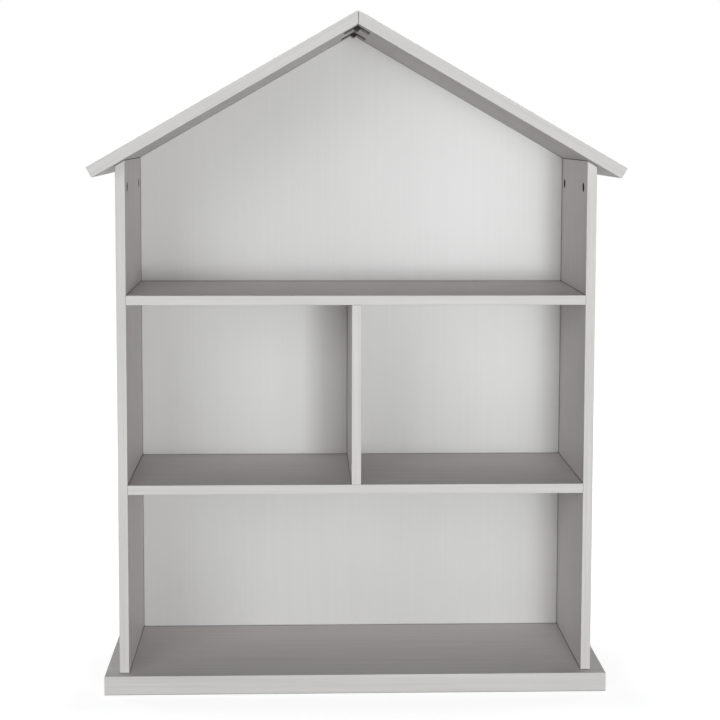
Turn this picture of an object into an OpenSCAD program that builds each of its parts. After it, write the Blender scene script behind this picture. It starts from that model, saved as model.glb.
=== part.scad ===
// House shaped bookcase: a flat-packed cabinet of painted boards under a hinged gable roof.
// Millimetres. +Z is up and the open front faces -Y. The origin is on the floor, under the middle
// of the overall box: X = 0 is the plane of the ridge, and Y = 0 is the middle of the roof's depth.

/* [Overall] */
// Height from the floor to the ridge
height = 1065; // [1000:5:1160]
// Width over the outer faces of the two sides
carcass_w = 745; // [640:5:820]
// Depth of the two sides, front to rear
side_depth = 265; // [235:5:320]

/* [Bays] */
// Clear height of the bottom bay
lower_bay_h = 285; // [240:5:320]
// Clear height of the two middle bays
middle_bay_h = 283; // [240:1:320]

/* [Boards] */
// Thickness of the two sides
side_t = 15; // [15:0.5:19]
// Thickness of the two shelves
shelf_t = 15; // [15:0.5:19]
// Thickness of the upright divider between the shelves
divider_t = 15; // [12:0.5:19]
// Radius of the eased edges
arris_r = 1; // [0.5:0.25:2]

/* [Base] */
// Thickness of the base board
base_t = 15; // [14:0.5:19]
// Height of the rails glued under the base board
rail_h = 15; // [12:1:30]
// Width of those rails
rail_w = 45; // [42:1:70]
// How far the base reaches past the outer face of each side
base_side_reach = 22.5; // [10:0.5:28]
// How far the base reaches out in front of the sides
base_front_reach = 16.5; // [6:0.5:28]

/* [Roof] */
// Pitch of the roof boards from level, in degrees
roof_pitch = 30; // [24:1:36]
// Thickness of the two roof boards
roof_t = 18; // [17:0.5:22]
// How far each eave reaches past the outer face of its side
eave_overhang = 40; // [20:1:60]
// How far the roof reaches out in front of the sides
roof_front_overhang = 40; // [30:1:60]
// Width of the seam between the two mitred ridge faces
ridge_gap = 0.8; // [0.2:0.1:1.2]

/* [Back panel] */
// Thickness of the back panel
back_t = 4; // [3:0.5:6]
// Depth of the lip of the sides behind the back panel
back_lip = 6; // [4:0.5:12]
// Depth of the groove for the panel in the sides
side_groove_d = 7; // [4:0.5:9]
// Depth of the groove for the panel in the base and in the roof boards
edge_groove_d = 5; // [3:0.5:7]
// Room between the edge of the panel and the bottom of its groove
groove_play = 0.5; // [0.3:0.1:1]

/* [Rows of fixings] */
// Distance of the cams and long screws from the front and rear edges of the sides
fixing_inset = 37; // [30:1:50]
// Distance from each row of cams to the dowel beside it
dowel_step = 32; // [25:1:45]

/* [Cam locks] */
// Diameter of the bore for a cam
cam_bore_d = 15; // [15:0.25:17]
// Length of a cam from its face to its foot
cam_h = 12.5; // [12.2:0.1:13.2]
// Room around a cam in its bore, on the radius
cam_fit = 0.1; // [0.03:0.01:0.1]
// Room under a cam in its bore
cam_foot_room = 0.5; // [0.2:0.1:0.8]
// Depth of the cam bolt's axis below the face of the cam
bolt_depth = 7.5; // [7.3:0.1:7.8]
// Distance from a cam's centre to the edge of its board
cam_backset = 34; // [30:1:44]
// Room between the cam and the head and neck of its bolt
cam_slip = 0.35; // [0.3:0.05:0.5]
// Radius of the core that joins the two ends of a cam
cam_core_r = 1.3; // [1:0.1:1.4]
// Turn of a cam from locked to released, in degrees
cam_turn = 180; // [160:5:190]
// Span of the cross recess in the face of a cam
cam_drive_d = 8; // [6:0.5:9]
// Width of each slot of the cross recess in a cam
cam_drive_w = 1.6; // [1.2:0.1:2]
// Depth of the cross recess in a cam
cam_drive_h = 2.4; // [1.5:0.1:2.6]

/* [Cam bolts] */
// Diameter of a cam bolt's head
bolt_head_d = 6.5; // [6:0.1:6.8]
// Thickness of a cam bolt's head
bolt_head_t = 2; // [1.6:0.1:2.2]
// Distance from the cam's centre to the end of the bolt's head
bolt_head_at = 1.8; // [1.7:0.1:2]
// Diameter of the neck that the cam pulls against
bolt_neck_d = 3.8; // [3:0.1:4.2]
// Diameter of a cam bolt's shank
bolt_shank_d = 6; // [5.5:0.1:7]
// Diameter of the hole for the shank
bolt_hole_d = 8; // [7.2:0.1:8.4]
// Diameter of the thread in the other board
bolt_thread_d = 5; // [4:0.1:5.4]
// Length of the thread in the other board
bolt_bite = 11; // [8:0.5:12]

/* [Dowels] */
// Diameter of a dowel
dowel_d = 8; // [6:0.5:9]
// Length of a dowel
dowel_len = 30; // [25:1:35]
// Length of a dowel in the face of the board that it stands in
dowel_bite = 10; // [7:0.5:11]
// Chamfer at the ends of a dowel
dowel_chamfer = 1; // [0.5:0.25:1.5]
// Room past the end of each dowel and screw
hole_room = 1; // [0.5:0.1:1.5]

/* [Screws] */
// Diameter of the screws up through the base into the sides
base_screw_d = 5; // [4:0.5:5.5]
// Length of the screws up through the base into the sides
base_screw_len = 60; // [50:1:75]
// Diameter of the screws up through the lower shelf into the divider
divider_screw_d = 4; // [3:0.5:5]
// Length of the screws up through the lower shelf into the divider
divider_screw_len = 45; // [35:1:60]
// Diameter of a countersunk head for each millimetre of its screw's diameter
head_ratio = 1.9; // [1.8:0.05:2]
// Width of the slots of the cross in a screw's head, for each millimetre of its diameter
cross_w_ratio = 0.2; // [0.15:0.01:0.3]
// Depth of that cross, for each millimetre of the screw's diameter
cross_h_ratio = 0.33; // [0.2:0.01:0.4]
// Depth of a countersunk head below the face of its board
head_sink = 0.5; // [0.2:0.1:1]
// Room around a screw where it passes through the first board, on the radius
screw_fit = 0.25; // [0.1:0.05:0.5]
// Diameter of the screws through the back panel
back_screw_d = 3; // [2.5:0.25:4]
// Length of the screws through the back panel
back_screw_len = 16; // [12:1:25]
// Diameter of the round heads on the back panel
back_head_d = 6; // [5.5:0.25:8]
// Height of the round heads on the back panel
back_head_h = 2; // [1:0.25:3]
// Distance of the outer back screws from the middle
back_screw_reach = 230; // [150:5:280]

/* [Ridge hinges] */
// Length of a hinge along the ridge
hinge_len = 40; // [36:1:60]
// Distance from the front or rear edge of the roof to the middle of a hinge
hinge_inset = 64; // [50:1:80]
// Number of knuckles in a hinge
knuckles = 5; // [3:2:7]
// Room between one knuckle and the next
knuckle_gap = 0.3; // [0.2:0.05:0.5]
// Width of a leaf along the slope
leaf_w = 20; // [19:0.5:26]
// Thickness of a leaf
leaf_t = 1.5; // [1.2:0.1:1.8]
// Radius of the two free corners of a leaf
leaf_corner_r = 2; // [0.5:0.5:4]
// Outer diameter of the barrel
barrel_d = 8; // [6:0.25:8.5]
// Diameter of the hinge pin
pin_d = 3; // [2.5:0.25:3.5]
// Room around the pin in its knuckles, on the radius
pin_fit = 0.05; // [0.03:0.01:0.1]
// Diameter of the heads of the pin
pin_head_d = 5; // [4.4:0.2:5.6]
// Height of the heads of the pin
pin_head_h = 1; // [0.6:0.1:1.5]
// Diameter of the hinge screws
hinge_screw_d = 3; // [2.5:0.25:3.25]
// Length of the hinge screws
hinge_screw_len = 12; // [8:1:14]
// Distance of the middle screw from the root of its leaf
leaf_hole_near = 8; // [7.5:0.25:10]
// Distance of the end screws from the root of their leaf
leaf_hole_far = 14; // [11:0.25:15]
// Distance of the end screws from the ends of their leaf
leaf_hole_end = 6; // [5:0.5:9]

/* [Hidden] */

// Steps in the arc of each eased edge
ARC_STEPS = 4;
// Facets of round work
ROUND = 48;
// How far a cut runs past the face that it opens
PAST = 1;

// Across: outer and inner faces of the right-hand side, and the middle of its thickness
x_out = carcass_w / 2;
x_in = x_out - side_t;
x_mid = x_out - side_t / 2;
// The vertical line of the roof cam bolts in a side
x_bolt = x_in + bolt_depth;
x_base = x_out + base_side_reach;
x_eave = x_out + eave_overhang;

// Front to rear
roof_depth = side_depth + roof_front_overhang;
y_roof = -roof_depth / 2;
y_rear = roof_depth / 2;
y_front = y_rear - side_depth;
y_base = y_front - base_front_reach;
y_back = y_rear - back_lip - back_t;
fixing_rows = [y_front + fixing_inset, y_rear - fixing_inset];
dowel_rows = [fixing_rows[0] + dowel_step, fixing_rows[1] - dowel_step];
y_middle = (y_front + y_rear) / 2;

// Up
base_h = base_t + rail_h;
z_lower = base_h + lower_bay_h;
z_divider = z_lower + shelf_t;
z_upper = z_divider + middle_bay_h;
z_apex = height - roof_t / cos(roof_pitch);
z_roof_cam = z_under(x_out) - cam_backset;

// Slope distances of a roof board, from the inner apex: its eave end, and its mitred ridge end
s_eave = (x_eave - roof_t * sin(roof_pitch)) / cos(roof_pitch);
s_ridge_low = ridge_gap / 2 / cos(roof_pitch);
s_ridge_top = (ridge_gap / 2 - roof_t * sin(roof_pitch)) / cos(roof_pitch);

// Cam and bolt
cam_r = cam_bore_d / 2 - cam_fit;
cam_bore_h = cam_h + cam_foot_room;
bolt_neck_at = bolt_head_at + bolt_head_t;
bolt_shank_at = cam_bore_d / 2 + PAST;
// The head's corners stay inside this radius as the cam turns round it
cam_cavity_r = norm([bolt_neck_at, bolt_head_d / 2]) + cam_slip;
cam_slot_margin = asin((bolt_neck_d / 2 + cam_slip) / cam_cavity_r);

// Hinge: the barrel lies in the inner corner of the ridge and touches both undersides
barrel_r = barrel_d / 2;
s_barrel = barrel_r * tan(roof_pitch);
z_barrel = z_apex - barrel_r / cos(roof_pitch);
knuckle_len = (hinge_len - (knuckles - 1) * knuckle_gap) / knuckles;
hinge_rows = [y_roof + hinge_inset, y_rear - hinge_inset];
// Each leaf has one screw near its root and two near its free edge: slope and length positions
leaf_holes = [
    [leaf_hole_near, 0],
    [leaf_hole_far, hinge_len / 2 - leaf_hole_end],
    [leaf_hole_far, -hinge_len / 2 + leaf_hole_end]
];

PAINT = [0.80, 0.79, 0.78];
PANEL = [0.86, 0.85, 0.85];
ZINC = [0.45, 0.45, 0.46];
STEEL = [0.62, 0.62, 0.63];
BEECH = [0.82, 0.68, 0.50];

// Height of the right-hand roof board's underside, carried on past the ridge where x is negative
function z_slope(x) = z_apex - x * tan(roof_pitch);

// Height of the roof's underside at a distance x from the ridge, on either side
function z_under(x) = z_slope(abs(x));

function unit(v) = v / norm(v);

// The points of corner b between a and c, rounded to a radius r
function corner(a, b, c, r) =
    let(
        u = unit(a - b),
        v = unit(c - b),
        half = acos(u * v) / 2,
        centre = b + unit(u + v) * r / sin(half),
        from = b + u * r / tan(half) - centre,
        to = b + v * r / tan(half) - centre,
        start = atan2(from[1], from[0]),
        turn = atan2(from[0] * to[1] - from[1] * to[0], from * to)
    )
    r == 0 ? [b] : [
        for (i = [0:ARC_STEPS])
            centre + r * [cos(start + turn * i / ARC_STEPS), sin(start + turn * i / ARC_STEPS)]
    ];

// A closed outline with one radius for each of its corners
function rounded(points, radii) =
    let(n = len(points))
    [for (i = [0:n - 1]) each corner(points[(i + n - 1) % n], points[i], points[(i + 1) % n], radii[i])];

// Corners of a rectangle, counter-clockwise from its lowest
function rect(low, high) = [low, [high[0], low[1]], high, [low[0], high[1]]];

// Extrudes an X, Z outline along Y
module along_y(y0, y1) {
    translate([0, y1, 0]) rotate([90, 0, 0]) linear_extrude(y1 - y0) children();
}

// Extrudes a Y, Z outline along X
module along_x(x0, x1) {
    translate([x0, 0, 0]) rotate([90, 0, 90]) linear_extrude(x1 - x0) children();
}

module box(low, high) {
    translate(low) cube(high - low);
}

// A piece, and its mirror image on the other side of the ridge
module both_sides() {
    children();
    mirror([1, 0, 0]) children();
}

// The frame of the right-hand roof board: X down the slope from the inner apex, Z square to the board
module on_slope() {
    translate([0, 0, z_apex]) rotate([0, roof_pitch, 0]) children();
}

// The frame of a cam in the right-hand half: Z out of its face, X towards its bolt
module at_roof_cam(y) {
    translate([x_in, y, z_roof_cam]) rotate([0, -90, 0]) children();
}

module at_shelf_cam(z, y) {
    translate([x_in - cam_backset, y, z]) rotate([180, 0, 0]) children();
}

// ---- Fasteners, each with the hole that it fits ----

// A cam: the bolt's head sits in the ring-shaped cavity behind a slot that its neck passes through.
// The slot ends in a wide mouth, which faces the bolt once the cam has made its full turn.
module cam() {
    color(ZINC)
    difference() {
        translate([0, 0, -cam_h]) cylinder(h = cam_h, r = cam_r, $fn = ROUND);
        rotate_extrude($fn = ROUND)
            translate([cam_core_r, -bolt_depth - bolt_head_d / 2 - cam_slip])
                square([cam_cavity_r - cam_core_r, bolt_head_d + 2 * cam_slip]);
        rotate([0, 0, -cam_turn - cam_slot_margin])
            rotate_extrude(angle = cam_turn + 2 * cam_slot_margin, $fn = ROUND)
                translate([cam_cavity_r - PAST, -bolt_depth - bolt_neck_d / 2 - cam_slip])
                    square([cam_r - cam_cavity_r + 2 * PAST, bolt_neck_d + 2 * cam_slip]);
        rotate([0, 0, -cam_turn])
            translate([cam_cavity_r - PAST, 0, -bolt_depth])
                rotate([0, 90, 0])
                    cylinder(
                        h = cam_r - cam_cavity_r + 2 * PAST,
                        d = bolt_head_d + 2 * cam_slip,
                        $fn = ROUND
                    );
        for (a = [0, 90])
            rotate([0, 0, a])
                translate([-cam_drive_d / 2, -cam_drive_w / 2, -cam_drive_h])
                    cube([cam_drive_d, cam_drive_w, cam_drive_h + PAST]);
    }
}

// All cams have the same hand, so those on the left are turned about the upright axis, not mirrored
LEFT = 180;
RIGHT = 0;

module roof_cam(side, row) {
    rotate([0, 0, side])
        at_roof_cam(side == LEFT ? -fixing_rows[row] : fixing_rows[row])
            cam();
}

module shelf_cam(z, side, row) {
    rotate([0, 0, side])
        at_shelf_cam(z, side == LEFT ? -fixing_rows[row] : fixing_rows[row])
            cam();
}

// The bore for a cam, and the hole from it along X for the bolt's shank
module cam_holes(reach) {
    translate([0, 0, -cam_bore_h]) cylinder(h = cam_bore_h + PAST, d = cam_bore_d, $fn = ROUND);
    translate([0, 0, -bolt_depth])
        rotate([0, 90, 0])
            cylinder(h = reach, d = bolt_hole_d, $fn = ROUND);
}

// A cam bolt in the frame of its cam. The other board's face is at reach, and the shank stops short of it.
module cam_bolt(reach, short) {
    color(STEEL)
    translate([0, 0, -bolt_depth])
        rotate([0, 90, 0])
            rotate_extrude($fn = ROUND)
                polygon([
                    [0, bolt_head_at],
                    [bolt_head_d / 2, bolt_head_at],
                    [bolt_head_d / 2, bolt_neck_at],
                    [bolt_neck_d / 2, bolt_neck_at],
                    [bolt_neck_d / 2, bolt_shank_at],
                    [bolt_shank_d / 2, bolt_shank_at],
                    [bolt_shank_d / 2, reach - short],
                    [bolt_thread_d / 2, reach - short],
                    [bolt_thread_d / 2, reach + bolt_bite],
                    [0, reach + bolt_bite]
                ]);
}

// The threaded hole in the other board, in the frame of the cam
module bolt_socket(reach, short) {
    translate([reach - short - PAST, 0, -bolt_depth])
        rotate([0, 90, 0])
            cylinder(h = short + PAST + bolt_bite + hole_room, d = bolt_thread_d, $fn = ROUND);
}

// A dowel that stands along Z, with dowel_bite of its length above Z = 0
module dowel() {
    color(BEECH)
    translate([0, 0, dowel_bite - dowel_len])
        rotate_extrude($fn = ROUND)
            polygon([
                [0, 0],
                [dowel_d / 2 - dowel_chamfer, 0],
                [dowel_d / 2, dowel_chamfer],
                [dowel_d / 2, dowel_len - dowel_chamfer],
                [dowel_d / 2 - dowel_chamfer, dowel_len],
                [0, dowel_len]
            ]);
}

module dowel_hole() {
    translate([0, 0, dowel_bite - dowel_len - hole_room])
        cylinder(h = dowel_len + 2 * hole_room, d = dowel_d, $fn = ROUND);
}

// Radius of a wood screw's countersunk head, whose sides slope at 45 degrees
function head_r(d) = d * head_ratio / 2;

// A countersunk wood screw along +Z, with a cross in its head, which is head_height high from Z = 0
module wood_screw(d, len, head_height) {
    cross_w = d * cross_w_ratio;
    cross_h = d * cross_h_ratio;
    color(STEEL)
    difference() {
        rotate_extrude($fn = ROUND)
            polygon([
                [0, 0],
                [d / 2 + head_height, 0],
                [d / 2, head_height],
                [d / 2, len - d],
                [0, len]
            ]);
        for (a = [0, 90])
            rotate([0, 0, a])
                translate([-d / 2, -cross_w / 2, -PAST])
                    cube([d, cross_w, cross_h + PAST]);
    }
}

// A screw whose head is sunk in a board's face at Z = 0
module sunk_screw(d, len) {
    translate([0, 0, head_sink]) wood_screw(d, len, head_r(d) - d / 2);
}

// Its countersink and clear hole through a board of thickness t
module sunk_hole(d, t) {
    head_height = head_r(d) - d / 2;
    translate([0, 0, -PAST]) cylinder(h = head_sink + PAST, r = head_r(d), $fn = ROUND);
    translate([0, 0, head_sink])
        cylinder(h = head_height, r1 = head_r(d), r2 = d / 2, $fn = ROUND);
    translate([0, 0, head_sink])
        cylinder(h = t - head_sink + PAST, d = d + 2 * screw_fit, $fn = ROUND);
}

// Its pilot hole in the next board
module sunk_pilot(d, len) {
    translate([0, 0, head_sink]) cylinder(h = len + hole_room, d = d, $fn = ROUND);
}

// ---- Where the fasteners stand, for the right-hand half ----

module at_roof_dowels() {
    for (y = dowel_rows) translate([x_bolt, y, z_under(x_bolt)]) children();
}

// Dowels from a shelf's end into the side, whose face is at x_in
module at_shelf_dowels(z) {
    for (y = dowel_rows) translate([x_in, y, z + bolt_depth]) rotate([0, 90, 0]) children();
}

module at_base_dowels() {
    for (y = dowel_rows) translate([x_mid, y, base_h]) rotate([180, 0, 0]) children();
}

module at_base_screws() {
    for (y = [fixing_rows[0], y_middle, fixing_rows[1]]) translate([x_mid, y, 0]) children();
}

module at_divider_dowels() {
    for (y = dowel_rows) {
        translate([0, y, z_upper]) children();
        translate([0, y, z_divider]) rotate([180, 0, 0]) children();
    }
}

module at_divider_screws() {
    for (y = fixing_rows) translate([0, y, z_lower]) children();
}

// Screws through the back panel into the rear edges of the shelves, along -Y
module at_back_screws() {
    for (z = [z_lower + shelf_t / 2, z_upper + shelf_t / 2])
        for (x = [-back_screw_reach, 0, back_screw_reach])
            translate([x, y_back + back_t, z]) rotate([90, 0, 0]) children();
}

// Hinge screws of one leaf, pointing into the roof board, with the leaf's lower face at Z = 0
module at_leaf_screws(y) {
    on_slope()
        for (h = leaf_holes)
            translate([s_barrel + h[0], y + h[1], -leaf_t]) children();
}

// ---- Base ----

// The whole base as one slab with eased edges all round
module base_slab() {
    intersection() {
        linear_extrude(base_h)
            polygon(rounded(rect([-x_base, y_base], [x_base, y_rear]), [for (i = [0:3]) arris_r]));
        along_y(y_base, y_rear)
            polygon(rounded(rect([-x_base, 0], [x_base, base_h]), [for (i = [0:3]) arris_r]));
        along_x(-x_base, x_base)
            polygon(rounded(rect([y_base, 0], [y_rear, base_h]), [for (i = [0:3]) arris_r]));
    }
}

module base_board() {
    color(PAINT)
    difference() {
        intersection() {
            base_slab();
            box([-x_base, y_base, rail_h], [x_base, y_rear, base_h + PAST]);
        }
        box(
            [-x_in - side_groove_d, y_back, base_h - edge_groove_d],
            [x_in + side_groove_d, y_back + back_t, base_h + PAST]
        );
        both_sides() {
            at_base_dowels() dowel_hole();
            at_base_screws() sunk_hole(base_screw_d, base_h);
        }
    }
}

// A rail under the base board, between two corners
module rail(low, high) {
    color(PAINT)
    intersection() {
        base_slab();
        box([low[0], low[1], 0], [high[0], high[1], rail_h]);
    }
}

module base_front_rail() {
    rail([-x_base + rail_w, y_base], [x_base - rail_w, y_base + rail_w]);
}

module base_rear_rail() {
    rail([-x_base + rail_w, y_rear - rail_w], [x_base - rail_w, y_rear]);
}

module base_centre_rail() {
    rail([-rail_w / 2, y_base + rail_w], [rail_w / 2, y_rear - rail_w]);
}

// The rail under a side, which its screws pass through
module base_end_rail() {
    difference() {
        rail([x_base - rail_w, y_base], [x_base, y_rear]);
        at_base_screws() sunk_hole(base_screw_d, base_h);
    }
}

// ---- Carcass ----

module side_board() {
    color(PAINT)
    difference() {
        intersection() {
            linear_extrude(height)
                polygon(rounded(rect([x_in, y_front], [x_out, y_rear]), [for (i = [0:3]) arris_r]));
            along_y(y_front, y_rear)
                polygon(rounded(
                    [[x_in, base_h], [x_out, base_h], [x_out, z_under(x_out)], [x_in, z_under(x_in)]],
                    [0, 0, arris_r, arris_r]
                ));
        }
        on_slope() top_front_arris();
        box([x_in - PAST, y_back, base_h - PAST], [x_in + side_groove_d, y_back + back_t, height]);
        for (y = fixing_rows) {
            at_roof_cam(y) cam_holes(height);
            for (z = [z_lower, z_upper]) at_shelf_cam(z, y) bolt_socket(cam_backset, 0);
        }
        at_roof_dowels() dowel_hole();
        for (z = [z_lower, z_upper]) at_shelf_dowels(z) dowel_hole();
        at_base_dowels() dowel_hole();
        at_base_screws() sunk_pilot(base_screw_d, base_screw_len);
    }
}

// The waste that easing takes off the front edge of a side's sloping top, in the frame of the slope
module top_front_arris() {
    eased = corner([y_front, -side_t], [y_front, 0], [y_front + side_t, 0], arris_r);
    outside = [[y_front + arris_r, PAST], [y_front - PAST, PAST], [y_front - PAST, -arris_r]];
    along_x(0, s_eave) polygon(concat(eased, outside));
}

// A shelf with its underside at z. Its children are cut from it.
module shelf(z) {
    color(PAINT)
    difference() {
        along_x(-x_in, x_in)
            polygon(rounded(rect([y_front, z], [y_back, z + shelf_t]), [arris_r, 0, 0, arris_r]));
        both_sides() {
            for (y = fixing_rows) at_shelf_cam(z, y) cam_holes(cam_backset + PAST);
            at_shelf_dowels(z) dowel_hole();
        }
        at_divider_dowels() dowel_hole();
        at_back_screws() cylinder(h = back_screw_len + hole_room, d = back_screw_d, $fn = ROUND);
        children();
    }
}

module shelf_lower() {
    shelf(z_lower) at_divider_screws() sunk_hole(divider_screw_d, shelf_t);
}

module shelf_upper() {
    shelf(z_upper);
}

module divider() {
    color(PAINT)
    difference() {
        translate([0, 0, z_divider])
            linear_extrude(middle_bay_h)
                polygon(rounded(
                    rect([-divider_t / 2, y_front], [divider_t / 2, y_back]),
                    [arris_r, arris_r, 0, 0]
                ));
        at_divider_dowels() dowel_hole();
        at_divider_screws() sunk_pilot(divider_screw_d, divider_screw_len);
    }
}

// A pentagon that stands in the grooves of the base, the sides and the roof boards
module back_panel() {
    x_edge = x_in + side_groove_d - groove_play;
    rise = (edge_groove_d - groove_play) / cos(roof_pitch);
    color(PANEL)
    difference() {
        along_y(y_back, y_back + back_t)
            polygon([
                [-x_edge, base_h - edge_groove_d + groove_play],
                [x_edge, base_h - edge_groove_d + groove_play],
                [x_edge, z_under(x_edge) + rise],
                [0, z_apex + rise],
                [-x_edge, z_under(x_edge) + rise]
            ]);
        at_back_screws()
            translate([0, 0, -PAST]) cylinder(h = back_t + 2 * PAST, d = back_screw_d, $fn = ROUND);
    }
}

// ---- Roof ----

// A roof board in the frame of its slope, with eased edges and a mitred ridge end
module roof_blank() {
    intersection() {
        along_y(y_roof, y_rear)
            polygon(rounded(
                [[s_ridge_low, 0], [s_eave, 0], [s_eave, roof_t], [s_ridge_top, roof_t]],
                [0, arris_r, arris_r, arris_r]
            ));
        along_x(s_ridge_top, s_eave)
            polygon(rounded(rect([y_roof, 0], [y_rear, roof_t]), [for (i = [0:3]) arris_r]));
        linear_extrude(roof_t)
            polygon(rounded(rect([s_ridge_top, y_roof], [s_eave, y_rear]), [0, arris_r, arris_r, 0]));
    }
}

module roof_board() {
    // The bolts and dowels stand upright, so their shanks stop below the sloping underside
    reach = z_under(x_bolt) - z_roof_cam;
    x_groove = x_in + side_groove_d;
    rise = edge_groove_d / cos(roof_pitch);
    color(PAINT)
    difference() {
        on_slope() roof_blank();
        along_y(y_back, y_back + back_t)
            polygon([
                [-PAST, z_slope(-PAST) - PAST],
                [x_groove, z_slope(x_groove) - PAST],
                [x_groove, z_slope(x_groove) + rise],
                [-PAST, z_slope(-PAST) + rise]
            ]);
        for (y = fixing_rows) at_roof_cam(y) bolt_socket(reach, roof_bolt_short());
        at_roof_dowels() dowel_hole();
        for (y = hinge_rows)
            at_leaf_screws(y)
                cylinder(h = hinge_screw_len + hole_room, d = hinge_screw_d, $fn = ROUND);
    }
}

// How far below the roof's underside, on its axis, the shank of a roof bolt stops
function roof_bolt_short() = bolt_hole_d / 2 * tan(roof_pitch);

// ---- Ridge hinges ----

// Start of knuckle i along the hinge
function knuckle_y(i) = -hinge_len / 2 + i * (knuckle_len + knuckle_gap);

// The right-hand leaf, whose knuckles are the even or the odd ones. The other leaf's knuckles are
// cleared from its root.
module leaf(y, odd) {
    color(STEEL)
    difference() {
        on_slope()
            translate([s_barrel, y, 0])
                difference() {
                    union() {
                        translate([0, 0, -leaf_t]) leaf_plate();
                        for (i = [0:knuckles - 1])
                            if (i % 2 == odd) barrel_piece(i, 0, barrel_r);
                    }
                    for (i = [0:knuckles - 1])
                        if (i % 2 != odd) barrel_piece(i, knuckle_gap, barrel_r + knuckle_gap);
                    translate([0, -hinge_len / 2 - PAST, -barrel_r])
                        rotate([-90, 0, 0])
                            cylinder(h = hinge_len + 2 * PAST, r = pin_d / 2 + pin_fit, $fn = ROUND);
                }
        at_leaf_screws(y) leaf_hole();
    }
}

// The flat of a leaf, from its root at X = 0, with its two free corners rounded
module leaf_plate() {
    outline = rect([0, -hinge_len / 2], [leaf_w, hinge_len / 2]);
    linear_extrude(leaf_t) polygon(rounded(outline, [0, leaf_corner_r, leaf_corner_r, 0]));
}

// A countersunk hole through a leaf, which starts before one face and ends past the other
module leaf_hole() {
    translate([0, 0, -PAST])
        cylinder(
            h = leaf_t + PAST,
            r1 = hinge_screw_d / 2 + leaf_t + PAST,
            r2 = hinge_screw_d / 2,
            $fn = ROUND
        );
    cylinder(h = leaf_t + PAST, d = hinge_screw_d, $fn = ROUND);
}

// Knuckle i as a solid cylinder of radius r, longer by extra at both ends
module barrel_piece(i, extra, r) {
    translate([0, knuckle_y(i) - extra, -barrel_r])
        rotate([-90, 0, 0])
            cylinder(h = knuckle_len + 2 * extra, r = r, $fn = ROUND);
}

// The pin, with a chamfered head over each end of the barrel
module hinge_pin(y) {
    half = hinge_len / 2;
    color(STEEL)
    translate([0, y, z_barrel])
        rotate([-90, 0, 0])
            rotate_extrude($fn = ROUND)
                polygon([
                    [0, -half - pin_head_h],
                    [pin_head_d / 2 - pin_head_h / 2, -half - pin_head_h],
                    [pin_head_d / 2, -half - pin_head_h / 2],
                    [pin_head_d / 2, -half],
                    [pin_d / 2, -half],
                    [pin_d / 2, half],
                    [pin_head_d / 2, half],
                    [pin_head_d / 2, half + pin_head_h / 2],
                    [pin_head_d / 2 - pin_head_h / 2, half + pin_head_h],
                    [0, half + pin_head_h]
                ]);
}

module hinge_screws() {
    both_sides()
        for (y = hinge_rows)
            at_leaf_screws(y) wood_screw(hinge_screw_d, hinge_screw_len, leaf_t);
}

// ---- Groups of identical fasteners ----

module roof_cam_bolts() {
    both_sides()
        for (y = fixing_rows)
            at_roof_cam(y) cam_bolt(z_under(x_bolt) - z_roof_cam, roof_bolt_short());
}

module shelf_cam_bolts() {
    both_sides()
        for (z = [z_lower, z_upper])
            for (y = fixing_rows)
                at_shelf_cam(z, y) cam_bolt(cam_backset, 0);
}

module roof_dowels() {
    both_sides() at_roof_dowels() dowel();
}

module shelf_dowels() {
    both_sides()
        for (z = [z_lower, z_upper])
            at_shelf_dowels(z) dowel();
}

module base_dowels() {
    both_sides() at_base_dowels() dowel();
}

module divider_dowels() {
    at_divider_dowels() dowel();
}

module base_screws() {
    both_sides() at_base_screws() sunk_screw(base_screw_d, base_screw_len);
}

module divider_screws() {
    at_divider_screws() sunk_screw(divider_screw_d, divider_screw_len);
}

// Round-headed screws, whose heads bear on the rear of the panel
module back_panel_screws() {
    color(STEEL)
    at_back_screws()
        rotate_extrude($fn = ROUND)
            polygon([
                [0, -back_head_h],
                [back_head_d / 2 - back_head_h / 2, -back_head_h],
                [back_head_d / 2, -back_head_h / 2],
                [back_head_d / 2, 0],
                [back_screw_d / 2, 0],
                [back_screw_d / 2, back_screw_len - back_screw_d],
                [0, back_screw_len]
            ]);
}

base_board();
base_front_rail();
base_rear_rail();
base_centre_rail();
mirror([1, 0, 0]) base_end_rail();  // base_left_rail
base_end_rail();  // base_right_rail
mirror([1, 0, 0]) side_board();  // side_left
side_board();  // side_right
shelf_lower();
shelf_upper();
divider();
back_panel();
mirror([1, 0, 0]) roof_board();  // roof_left
roof_board();  // roof_right
mirror([1, 0, 0]) leaf(hinge_rows[0], 0);  // hinge_front_left_leaf
leaf(hinge_rows[0], 1);  // hinge_front_right_leaf
hinge_pin(hinge_rows[0]);  // hinge_front_pin
mirror([1, 0, 0]) leaf(hinge_rows[1], 0);  // hinge_rear_left_leaf
leaf(hinge_rows[1], 1);  // hinge_rear_right_leaf
hinge_pin(hinge_rows[1]);  // hinge_rear_pin
hinge_screws();
roof_cam(LEFT, 0);  // roof_cam_front_left
roof_cam(LEFT, 1);  // roof_cam_rear_left
roof_cam(RIGHT, 0);  // roof_cam_front_right
roof_cam(RIGHT, 1);  // roof_cam_rear_right
shelf_cam(z_upper, LEFT, 0);  // upper_cam_front_left
shelf_cam(z_upper, LEFT, 1);  // upper_cam_rear_left
shelf_cam(z_upper, RIGHT, 0);  // upper_cam_front_right
shelf_cam(z_upper, RIGHT, 1);  // upper_cam_rear_right
shelf_cam(z_lower, LEFT, 0);  // lower_cam_front_left
shelf_cam(z_lower, LEFT, 1);  // lower_cam_rear_left
shelf_cam(z_lower, RIGHT, 0);  // lower_cam_front_right
shelf_cam(z_lower, RIGHT, 1);  // lower_cam_rear_right
roof_cam_bolts();
shelf_cam_bolts();
roof_dowels();
shelf_dowels();
base_dowels();
divider_dowels();
base_screws();
divider_screws();
back_panel_screws();
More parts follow.
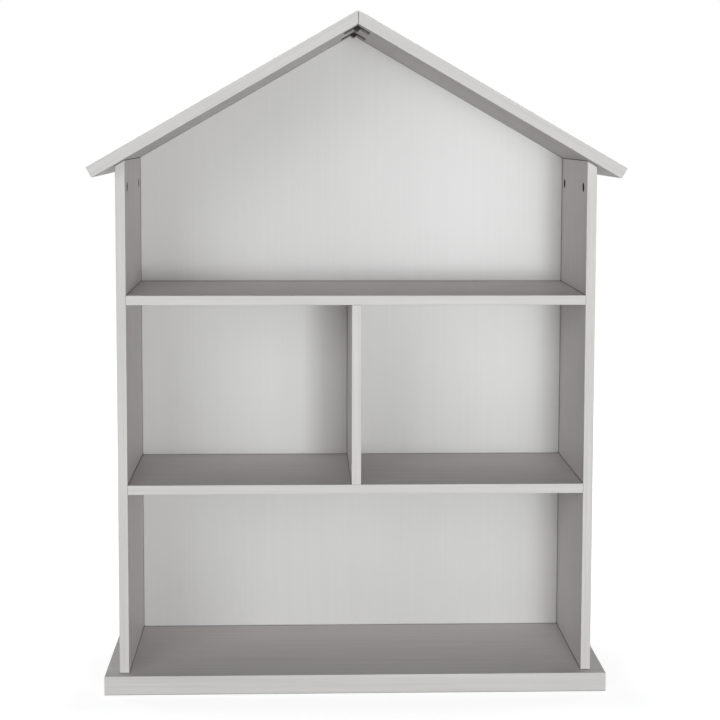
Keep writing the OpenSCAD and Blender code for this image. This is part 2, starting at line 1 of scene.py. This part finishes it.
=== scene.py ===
"""Looks of the house shaped bookcase: paint, metal, wood, floor, light and camera.

All sizes are in metres.
"""

import math

import bmesh
import bpy
from mathutils import Euler, Matrix, Vector

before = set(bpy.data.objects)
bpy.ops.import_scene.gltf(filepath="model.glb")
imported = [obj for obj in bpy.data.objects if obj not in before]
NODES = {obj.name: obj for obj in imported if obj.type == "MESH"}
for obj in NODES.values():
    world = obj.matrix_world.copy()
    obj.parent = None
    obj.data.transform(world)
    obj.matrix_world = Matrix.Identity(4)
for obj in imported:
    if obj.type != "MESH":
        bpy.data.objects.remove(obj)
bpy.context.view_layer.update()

# Camera
CAMERA_PLACE = Vector((-0.0869, -2.7482, 0.8853))
CAMERA_YAW = math.radians(1.993)
CAMERA_PITCH = math.radians(4.956)
CAMERA_ROLL = math.radians(0.146)
CAMERA_LENS = 85.28
CAMERA_SENSOR = 36.0
CAMERA_SHIFT_Y = -0.115

# Light
# Each softbox has: name, degrees right of straight ahead, height, distance from the object's middle, width,
# tallness, watts, and whether it shows in glossy reflections.
LIGHT_AIM = Vector((0.0, 0.0, 0.55))
SOFTBOXES = [
    ("left_high", -30, 1.7, 4.5, 2.2, 1.6, 49, False),
    ("left_low", -30, 0.5, 4.5, 2.2, 0.8, 14, False),
    ("right", 8, 0.6, 4.5, 1.3, 1.1, 85, False),
    ("sheen", 12, 0.58, 2.4, 0.35, 0.35, 9.5, True),
    ("right_fill", 20, 0.35, 2.3, 0.7, 0.6, 4.5, False),
    ("rear_left", -123, 0.5, 3.5, 1.5, 0.8, 76, False),
    ("rear_right", 123, 0.5, 3.5, 1.5, 0.8, 70, False),
    ("top", 180, 4.2, 0.3, 0.7, 0.7, 82, True),
]
LAMP_COLOUR = (0.957, 1.0, 1.004)
SKY_STRENGTH = 0.02

# Floor
FLOOR_SIZE = 24.0
FLOOR_DROP = 0.0002
FLOOR_COLOUR = (0.38, 0.38, 0.376)
FLOOR_GLOW_NEAR = 0.82
FLOOR_GLOW_FAR = 1.0
FLOOR_NEAR = 0.7
FLOOR_FAR = 2.2
FLOOR_CELLS = 8

# Paint
BOARD_PAINT = (0.59, 0.56, 0.551)
PANEL_PAINT = (0.612, 0.59, 0.587)
CLOUDS_PER_METRE = 5.0
CLOUD_SHADE = 0.025
STREAK_LENGTH = 0.3
STREAK_WIDTH = 0.0045
PEEL_PER_METRE = 700.0
PEEL_DEPTH = 0.00004
ROUGHNESS_SWING = 0.03
LACQUER_IOR = 1.46
# Painted shade in the seams where boards meet: the paint's colour is darkened there by ambient occlusion over
# this reach
SEAM_REACH = 0.0025
SEAM_PAINTED_SHADE = 0.1
SEAM_CLOSED = 0.48
SEAM_OPEN = 0.88
SEAM_RAYS = 8
BOARD_LOOK = {
    "colour": BOARD_PAINT, "roughness": 0.45, "specular": 0.2, "streak_depth": 0.00006, "streak_shade": 0.085,
}
ROOF_LOOK = {**BOARD_LOOK, "roughness": 0.55, "streak_depth": 0.00003}
PANEL_LOOK = {
    "colour": PANEL_PAINT, "roughness": 0.33, "specular": 0.6, "streak_depth": 0.00001, "streak_shade": 0.018,
}

# Metal
HINGE_METAL = {"colour": (0.05, 0.048, 0.046), "roughness": 0.22, "grain": 0.00003, "glance": 0.25}
CAM_METAL = {"colour": (0.014, 0.0135, 0.013), "roughness": 0.45, "grain": 0.00005, "glance": 0.0}
SCREW_METAL = {"colour": (0.34, 0.33, 0.32), "roughness": 0.3, "grain": 0.00003, "glance": 1.0}
SCRATCH_LENGTH = 0.006
SCRATCH_WIDTH = 0.0003
TARNISH_PER_METRE = 260.0
TARNISH_SWING = 0.07

# Wood
BEECH_LEVELS = (205, 170, 130)
GRAIN_LENGTH = 0.02
GRAIN_WIDTH = 0.0008
GRAIN_DEPTH = 0.0001
RAY_LENGTH = 0.003
RAY_WIDTH = 0.0004

# Turns of the material's X to the length of a board
ROOF_SLOPE = math.radians(30)
ALONG_X = (0.0, 0.0, 0.0)
ALONG_Z = (0.0, math.radians(90), 0.0)
UP_THE_LEFT_SLOPE = (0.0, ROOF_SLOPE, 0.0)
UP_THE_RIGHT_SLOPE = (0.0, -ROOF_SLOPE, 0.0)

BOARDS_ALONG_X = [
    "base_board", "base_front_rail", "base_rear_rail", "base_centre_rail",
    "base_left_rail", "base_right_rail", "shelf_lower", "shelf_upper",
]
BOARDS_ALONG_Z = ["side_left", "side_right", "divider"]


def srgb(*levels):
    """A colour's linear values from its 0 to 255 levels."""
    values = [level / 255 for level in levels]
    return tuple(v / 12.92 if v <= 0.04045 else ((v + 0.055) / 1.055) ** 2.4 for v in values)


# ---------------------------------------------------------------- node helpers


class Tree:
    """A new material's node tree, with short calls to add and join nodes."""

    def __init__(self, name):
        self.material = bpy.data.materials.new(name)
        self.material.use_nodes = True
        self.nodes = self.material.node_tree.nodes
        self.links = self.material.node_tree.links
        self.nodes.clear()

    def add(self, kind, settings=None, **inputs):
        """Adds a node. Inputs are values or sockets, by name with _ for a space, or by number as i0, i1."""
        node = self.nodes.new(kind)
        for key, value in (settings or {}).items():
            setattr(node, key, value)
        for key, value in inputs.items():
            number = key[1:]
            by_number = key[0] == "i" and number.isdigit()
            socket = node.inputs[int(number) if by_number else key.replace("_", " ")]
            if isinstance(value, bpy.types.NodeSocket):
                self.links.new(value, socket)
            else:
                socket.default_value = value
        return node

    def place(self, turn=(0.0, 0.0, 0.0)):
        """The object's own coordinates, turned so that X runs along the board."""
        coords = self.add("ShaderNodeTexCoord")
        mapping = self.add("ShaderNodeMapping", Vector=coords.outputs["Object"], Rotation=turn)
        return mapping.outputs["Vector"]

    def stretched(self, vector, along, across):
        """Coordinates in units of across, and along times longer in X."""
        scale = (1 / along, 1 / across, 1 / across)
        return self.add("ShaderNodeMapping", Vector=vector, Scale=scale).outputs["Vector"]

    def noise(self, vector, scale, detail=3.0, roughness=0.5):
        """Noise from 0 to 1 with about this many patches to a unit of the coordinates."""
        node = self.add("ShaderNodeTexNoise", Vector=vector, Scale=scale, Detail=detail, Roughness=roughness)
        return node.outputs["Fac"]

    def spread(self, value, low, high):
        """A 0 to 1 value, centred on 0.5, moved to between low and high."""
        node = self.add("ShaderNodeMapRange", i0=value, i1=0.25, i2=0.75, i3=low, i4=high)
        return node.outputs[0]

    def swing(self, value, middle, reach):
        """A 0 to 1 value, moved to within reach of the middle."""
        return self.spread(value, middle - reach, middle + reach)

    def maths(self, kind, a, b):
        return self.add("ShaderNodeMath", {"operation": kind}, i0=a, i1=b).outputs[0]

    def tint(self, colour, factor):
        """The colour, times a factor that varies."""
        return self.add("ShaderNodeVectorMath", {"operation": "SCALE"}, i0=colour, Scale=factor).outputs[0]

    def painted_seam_shade(self, reach, darkest):
        """Painted shade: a factor less than 1 in the fine seams where boards meet, from ambient occlusion,
        that darkens the paint's colour there.
        """
        occlusion = self.add("ShaderNodeAmbientOcclusion", {"samples": SEAM_RAYS}, Distance=reach)
        shade = self.add(
            "ShaderNodeMapRange",
            i0=occlusion.outputs["AO"], i1=SEAM_CLOSED, i2=SEAM_OPEN, i3=darkest, i4=1.0,
        )
        return shade.outputs[0]

    def bump(self, height, depth, normal=None):
        """The surface's normal, with relief of this depth on top of any that is there already."""
        node = self.add("ShaderNodeBump", Height=height, Distance=depth, Strength=1.0)
        if normal is not None:
            self.links.new(normal, node.inputs["Normal"])
        return node.outputs["Normal"]

    def principled(self, **inputs):
        """Ends the tree with the main shader, and returns the material."""
        shader = self.add("ShaderNodeBsdfPrincipled", **inputs)
        self.add("ShaderNodeOutputMaterial", Surface=shader.outputs[0])
        return self.material


# ---------------------------------------------------------------- materials


def paint(name, turn, colour, roughness, specular, streak_depth, streak_shade):
    """Sprayed satin lacquer: a faint orange peel, fine streaks along the board, soft cloudy patches, and
    painted shade in the seams where boards meet.
    """
    tree = Tree(name)
    place = tree.place(turn)
    clouds = tree.noise(place, CLOUDS_PER_METRE, detail=4.0)
    along_the_board = tree.stretched(place, STREAK_LENGTH, STREAK_WIDTH)
    streaks = tree.noise(along_the_board, 1.0, detail=5.0, roughness=0.65)
    peel = tree.noise(place, PEEL_PER_METRE, detail=2.0)
    cloud_tint = tree.swing(clouds, 1, CLOUD_SHADE)
    streak_tint = tree.swing(streaks, 1, streak_shade)
    factor = tree.maths("MULTIPLY", cloud_tint, streak_tint)
    # painted shade: the paint's colour is darker in the seams where boards meet
    factor = tree.maths("MULTIPLY", factor, tree.painted_seam_shade(SEAM_REACH, SEAM_PAINTED_SHADE))
    normal = tree.bump(streaks, streak_depth)
    normal = tree.bump(peel, PEEL_DEPTH, normal=normal)
    cloud_gloss = tree.swing(clouds, roughness, ROUGHNESS_SWING)
    peel_gloss = tree.swing(peel, 0, ROUGHNESS_SWING)
    return tree.principled(
        Base_Color=tree.tint(colour, factor),
        Roughness=tree.maths("ADD", cloud_gloss, peel_gloss),
        Normal=normal,
        IOR=LACQUER_IOR,
        Specular_IOR_Level=specular,
    )


def metal(name, colour, roughness, grain, glance):
    """Plated metal with fine scratches and a little tarnish.

    Grain is how deep the scratches are. Glance is how bright the metal gets when seen edge on, from 0 to 1.
    """
    tree = Tree(name)
    place = tree.place()
    along_the_scratch = tree.stretched(place, SCRATCH_LENGTH, SCRATCH_WIDTH)
    scratches = tree.noise(along_the_scratch, 1.0, detail=4.0, roughness=0.7)
    tarnish = tree.noise(place, TARNISH_PER_METRE, detail=3.0)
    tarnish_tint = tree.spread(tarnish, 0.85, 1.12)
    scratch_tint = tree.spread(scratches, 0.93, 1.07)
    return tree.principled(
        Base_Color=tree.tint(colour, tree.maths("MULTIPLY", tarnish_tint, scratch_tint)),
        Metallic=1.0,
        Roughness=tree.swing(tarnish, roughness, TARNISH_SWING),
        Normal=tree.bump(scratches, grain),
        Specular_Tint=(glance, glance, glance, 1.0),
    )


def beech(name):
    """Turned beech dowels: pale brown, with grain and short dark rays."""
    tree = Tree(name)
    place = tree.place()
    grain = tree.noise(tree.stretched(place, GRAIN_LENGTH, GRAIN_WIDTH), 1.0, detail=5.0, roughness=0.6)
    rays = tree.noise(tree.stretched(place, RAY_LENGTH, RAY_WIDTH), 1.0, detail=2.0)
    grain_tint = tree.spread(grain, 0.82, 1.12)
    ray_tint = tree.spread(rays, 0.92, 1.05)
    return tree.principled(
        Base_Color=tree.tint(srgb(*BEECH_LEVELS), tree.maths("MULTIPLY", grain_tint, ray_tint)),
        Roughness=tree.spread(grain, 0.55, 0.7),
        Normal=tree.bump(grain, GRAIN_DEPTH),
    )


def dress(material, *names):
    """Puts a material in every slot of these CAD nodes."""
    for name in names:
        for slot in NODES[name].material_slots:
            slot.material = material


def dress_all():
    """Gives every CAD node its material: boards by name, fixings by the word in their names."""
    dress(paint("paint_along_x", ALONG_X, **BOARD_LOOK), *BOARDS_ALONG_X)
    dress(paint("paint_along_z", ALONG_Z, **BOARD_LOOK), *BOARDS_ALONG_Z)
    dress(paint("paint_left_slope", UP_THE_LEFT_SLOPE, **ROOF_LOOK), "roof_left")
    dress(paint("paint_right_slope", UP_THE_RIGHT_SLOPE, **ROOF_LOOK), "roof_right")
    dress(paint("paint_panel", ALONG_Z, **PANEL_LOOK), "back_panel")
    fixings = {
        "hinge": metal("hinge_metal", **HINGE_METAL),
        "cam": metal("cam_metal", **CAM_METAL),
        "screw": metal("screw_metal", **SCREW_METAL),
        "dowel": beech("dowel_beech"),
    }
    for name in NODES:
        for word, material in fixings.items():
            if f"_{word}" in name or name.startswith(word):
                dress(material, name)


# ---------------------------------------------------------------- stage


def seen_directly(tree):
    """1 for camera, mirror and see-through rays, 0 for light that falls on things."""
    path = tree.add("ShaderNodeLightPath").outputs
    seen = tree.maths("MAXIMUM", path["Is Camera Ray"], path["Is Glossy Ray"])
    return tree.maths("MAXIMUM", seen, path["Is Transmission Ray"])


def make_floor():
    """A pale paper floor that keeps the object's shadow and fades to white away from it."""
    mesh = bpy.data.meshes.new("floor")
    shape = bmesh.new()
    bmesh.ops.create_grid(shape, x_segments=FLOOR_CELLS, y_segments=FLOOR_CELLS, size=FLOOR_SIZE / 2)
    shape.to_mesh(mesh)
    shape.free()
    floor = bpy.data.objects.new("floor", mesh)
    floor.location.z = -FLOOR_DROP
    bpy.context.scene.collection.objects.link(floor)
    tree = Tree("floor_paper")
    paper = tree.add("ShaderNodeBsdfDiffuse", Color=(*FLOOR_COLOUR, 1.0))
    away = tree.add("ShaderNodeVectorMath", {"operation": "LENGTH"}, i0=tree.place()).outputs["Value"]
    white = tree.add(
        "ShaderNodeMapRange", {"interpolation_type": "SMOOTHSTEP"},
        i0=away, i1=FLOOR_NEAR, i2=FLOOR_FAR, i3=FLOOR_GLOW_NEAR, i4=FLOOR_GLOW_FAR,
    ).outputs[0]
    glow = tree.add("ShaderNodeEmission", Strength=tree.maths("MULTIPLY", seen_directly(tree), white))
    both = tree.add("ShaderNodeAddShader", i0=paper.outputs[0], i1=glow.outputs[0])
    tree.add("ShaderNodeOutputMaterial", Surface=both.outputs[0])
    mesh.materials.append(tree.material)


def make_world():
    """White where it is seen, and a weak even light where it falls on the object."""
    world = bpy.data.worlds.new("studio")
    world.use_nodes = True
    bpy.context.scene.world = world
    nodes, links = world.node_tree.nodes, world.node_tree.links
    nodes.clear()
    path = nodes.new("ShaderNodeLightPath").outputs
    background = nodes.new("ShaderNodeBackground")
    background.inputs["Color"].default_value = (1.0, 1.0, 1.0, 1.0)
    output = nodes.new("ShaderNodeOutputWorld")
    links.new(background.outputs[0], output.inputs["Surface"])
    seen = path["Is Camera Ray"]
    for ray in ("Is Glossy Ray", "Is Transmission Ray"):
        either = nodes.new("ShaderNodeMath")
        either.operation = "MAXIMUM"
        links.new(seen, either.inputs[0])
        links.new(path[ray], either.inputs[1])
        seen = either.outputs[0]
    strength = nodes.new("ShaderNodeMapRange")
    strength.inputs["To Min"].default_value = SKY_STRENGTH
    strength.inputs["To Max"].default_value = 1.0
    links.new(seen, strength.inputs["Value"])
    links.new(strength.outputs[0], background.inputs["Strength"])


def make_lights():
    """The softboxes, all turned to the object."""
    for name, azimuth, height, distance, width, tallness, watts, glossy in SOFTBOXES:
        lamp = bpy.data.lights.new(name, "AREA")
        lamp.shape = "RECTANGLE"
        lamp.size = width
        lamp.size_y = tallness
        lamp.energy = watts
        lamp.color = LAMP_COLOUR
        light = bpy.data.objects.new(name, lamp)
        light.visible_camera = False
        light.visible_glossy = glossy
        angle = math.radians(azimuth)
        light.location = (distance * math.sin(angle), -distance * math.cos(angle), height)
        light.rotation_euler = (LIGHT_AIM - light.location).to_track_quat("-Z", "Y").to_euler()
        bpy.context.scene.collection.objects.link(light)


def make_camera():
    """The camera, from a fit to the corners of the boards in the photo."""
    data = bpy.data.cameras.new("camera")
    data.sensor_width = CAMERA_SENSOR
    data.lens = CAMERA_LENS
    data.shift_y = CAMERA_SHIFT_Y
    camera = bpy.data.objects.new("camera", data)
    aim = Euler((math.pi / 2 - CAMERA_PITCH, 0.0, -CAMERA_YAW)).to_matrix()
    roll = Matrix.Rotation(CAMERA_ROLL, 3, "Z")
    camera.rotation_euler = (aim @ roll).to_euler()
    camera.location = CAMERA_PLACE
    bpy.context.scene.collection.objects.link(camera)
    bpy.context.scene.camera = camera


bpy.context.scene.view_settings.view_transform = "Standard"
make_camera()
make_world()
make_floor()
make_lights()
dress_all()
